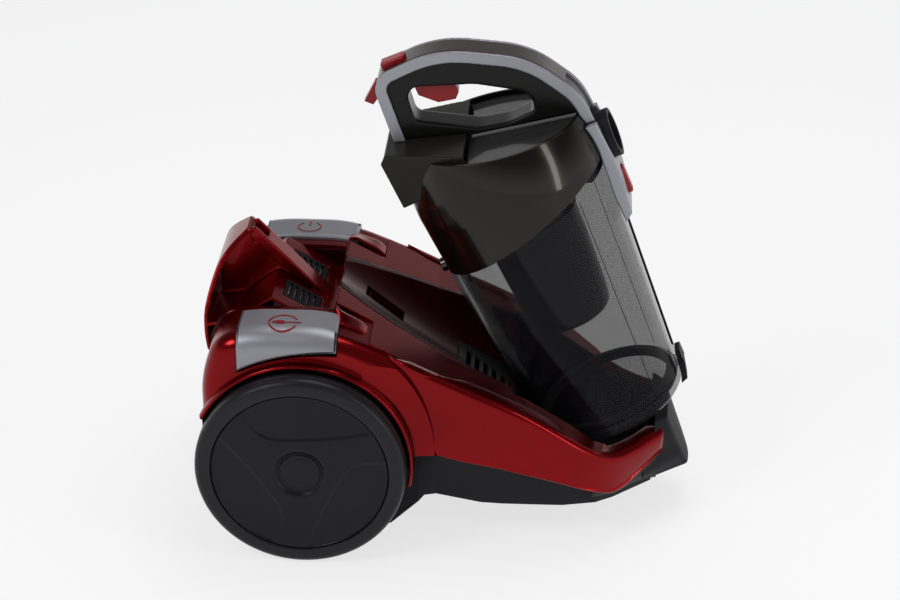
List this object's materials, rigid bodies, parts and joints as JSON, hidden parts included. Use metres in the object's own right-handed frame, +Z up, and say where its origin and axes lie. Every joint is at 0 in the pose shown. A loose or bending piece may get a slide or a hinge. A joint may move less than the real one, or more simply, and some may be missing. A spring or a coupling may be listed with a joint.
{
  "type": "vacuum cleaner",
  "caption": "Bagless cylinder vacuum cleaner on large rear wheels, its clear dust bin tipped forward on a front pivot and lifted by its handle.",
  "frame": {"origin": "on the floor, under the middle of the cleaner's bounding box", "axes": "+X towards the nose, +Y towards the left wheel, +Z up"},
  "size_m": [0.45, 0.29, 0.4504],
  "materials": {
    "red_gloss": "deep metallic red lacquer over moulded plastic",
    "maroon_gloss": "dark glossy maroon moulding",
    "charcoal": "fine textured charcoal plastic",
    "tyre": "soft satin black rubber",
    "hub": "satin charcoal plastic",
    "silver": "silver painted plastic",
    "mauve": "mauve silver painted plastic",
    "bronze": "dark metallic bronze plastic",
    "olive": "olive grey metallic plastic",
    "lid_grey": "translucent grey plastic",
    "smoke": "clear smoky polycarbonate",
    "red_accent": "bright red plastic",
    "black_gloss": "glossy black plastic",
    "rubber": "black rubber",
    "steel": "plain steel",
    "foam": "pleated filter fleece"
  },
  "bodies": {
    "chassis": {"lower_chassis": "charcoal", "nose_bumper": "charcoal", "side_panel_right": "red_gloss", "side_panel_left": "red_gloss", "upper_shell_right": "red_gloss", "upper_shell_left": "red_gloss", "rear_handle": "red_gloss", "exhaust_vents": "charcoal", "exhaust_filter": "foam", "tail_panel": "charcoal", "cord_outlet": "rubber", "bonnet": "maroon_gloss", "inlet_grille": "black_gloss", "bin_well": "charcoal", "pivot_pins": "steel", "motor_can": "steel", "fan_housing": "charcoal", "motor_mounts": "rubber", "fixed_axles": "steel", "chassis_screws": "steel"},
    "wheel_right": {"tyre_right": "tyre", "hub_right": "hub", "cap_right": "charcoal"},
    "wheel_left": {"tyre_left": "tyre", "hub_left": "hub", "cap_left": "charcoal"},
    "caster": {"caster_fork": "charcoal", "caster_axle": "steel"},
    "caster_roller": {"caster_wheel": "tyre"},
    "motor_rotor": {"rotor": "steel"},
    "cord_reel": {"cord_drum": "charcoal"},
    "rewind_button": {"rewind_pedal": "silver"},
    "power_button": {"power_pedal": "silver"},
    "bin_rocker": {"pivot_shoe": "charcoal"},
    "bin": {"cup": "smoke", "collar": "bronze", "lid": "lid_grey", "spout": "olive", "spout_seal": "rubber", "back_spine": "black_gloss", "cyclone_shroud": "black_gloss", "cyclone_cone": "black_gloss", "vortex_finder": "charcoal", "filter_frame": "charcoal", "filter": "foam", "inlet_duct": "charcoal", "handle_core": "black_gloss", "handle_cover": "mauve", "handle_trim": "silver", "front_fairing": "silver", "hose_socket": "charcoal", "flap_pin": "steel"},
    "bin_flap": {"flap": "black_gloss", "flap_seal": "rubber"},
    "bin_release": {"release_button": "red_accent"},
    "bin_hook": {"latch_hook": "red_accent"},
    "flap_trigger": {"trigger": "red_accent"},
    "flap_rod": {"push_rod": "charcoal"},
    "flap_catch": {"flap_latch": "charcoal"},
    "cup_release": {"cup_button": "red_accent"}
  },
  "joints": [
    {"name": "wheel_right_spin", "type": "hinge", "parent": "chassis", "child": "wheel_right", "pos_m": [-0.13, -0.128, 0.095], "axis": [0, 1, 0], "continuous": true},
    {"name": "wheel_left_spin", "type": "hinge", "parent": "chassis", "child": "wheel_left", "pos_m": [-0.13, 0.128, 0.095], "axis": [0, 1, 0], "continuous": true},
    {"name": "caster_swivel", "type": "hinge", "parent": "chassis", "child": "caster", "pos_m": [0.132, 0, 0.04], "axis": [0, 0, 1], "continuous": true},
    {"name": "caster_spin", "type": "hinge", "parent": "caster", "child": "caster_roller", "pos_m": [0.124, 0, 0.013], "axis": [0, 1, 0], "continuous": true},
    {"name": "motor_spin", "type": "hinge", "parent": "chassis", "child": "motor_rotor", "pos_m": [-0.13, 0, 0.1], "axis": [0, 1, 0], "continuous": true},
    {"name": "reel_spin", "type": "hinge", "parent": "chassis", "child": "cord_reel", "pos_m": [-0.138, -0.08, 0.112], "axis": [0, 1, 0], "continuous": true},
    {"name": "rewind_press", "type": "hinge", "parent": "chassis", "child": "rewind_button", "pos_m": [-0.141, -0.074, 0.216], "axis": [1, 0, 0], "range_deg": [0, 3.5], "stiffness_Nm_per_rad": 1.5, "springref_deg": -1.72},
    {"name": "power_press", "type": "hinge", "parent": "chassis", "child": "power_button", "pos_m": [-0.141, 0.074, 0.216], "axis": [-1, 0, 0], "range_deg": [0, 3.5], "stiffness_Nm_per_rad": 1.5, "springref_deg": -1.72},
    {"name": "bin_tilt", "type": "hinge", "parent": "chassis", "child": "bin_rocker", "pos_m": [0.07, 0, 0.0795], "axis": [0, 1, 0], "range_deg": [-24, 0]},
    {"name": "bin_lift", "type": "slide", "parent": "bin_rocker", "child": "bin", "axis": [-0.3987, 0, 0.9171], "range_m": [0, 0.2]},
    {"name": "flap_swing", "type": "hinge", "parent": "bin", "child": "bin_flap", "pos_m": [0.0764, 0, 0.07356], "axis": [0, 1, 0], "range_deg": [0, 85]},
    {"name": "release_press", "type": "slide", "parent": "bin", "child": "bin_release", "axis": [0.3987, 0, -0.9171], "range_m": [0, 0.003], "stiffness_N_per_m": 400, "springref_m": -0.001},
    {"name": "hook_turn", "type": "hinge", "parent": "bin", "child": "bin_hook", "pos_m": [-0.05557, 0, 0.41092], "axis": [0, 1, 0], "range_deg": [0, 8]},
    {"name": "trigger_pull", "type": "slide", "parent": "bin", "child": "flap_trigger", "axis": [-0.3987, 0, 0.9171], "range_m": [0, 0.004], "stiffness_N_per_m": 400, "springref_m": -0.001},
    {"name": "rod_slide", "type": "slide", "parent": "bin", "child": "flap_rod", "axis": [0.3366, 0, -0.9417], "range_m": [0, 0.0036]},
    {"name": "catch_turn", "type": "hinge", "parent": "bin", "child": "flap_catch", "pos_m": [0.20987, 0, 0.14904], "axis": [0, -1, 0], "range_deg": [0, 8]},
    {"name": "cup_button_press", "type": "slide", "parent": "bin", "child": "cup_release", "axis": [-0.9171, 0, -0.3987], "range_m": [0, 0.003], "stiffness_N_per_m": 400, "springref_m": -0.001}
  ],
  "couplings": [
    {"joint": "flap_swing", "follows": "bin_lift", "rad_per_m": 7.4089},
    {"joint": "hook_turn", "follows": "release_press", "rad_per_m": 45.96},
    {"joint": "rod_slide", "follows": "trigger_pull", "ratio": 0.9},
    {"joint": "catch_turn", "follows": "trigger_pull", "rad_per_m": 34.47}
  ]
}
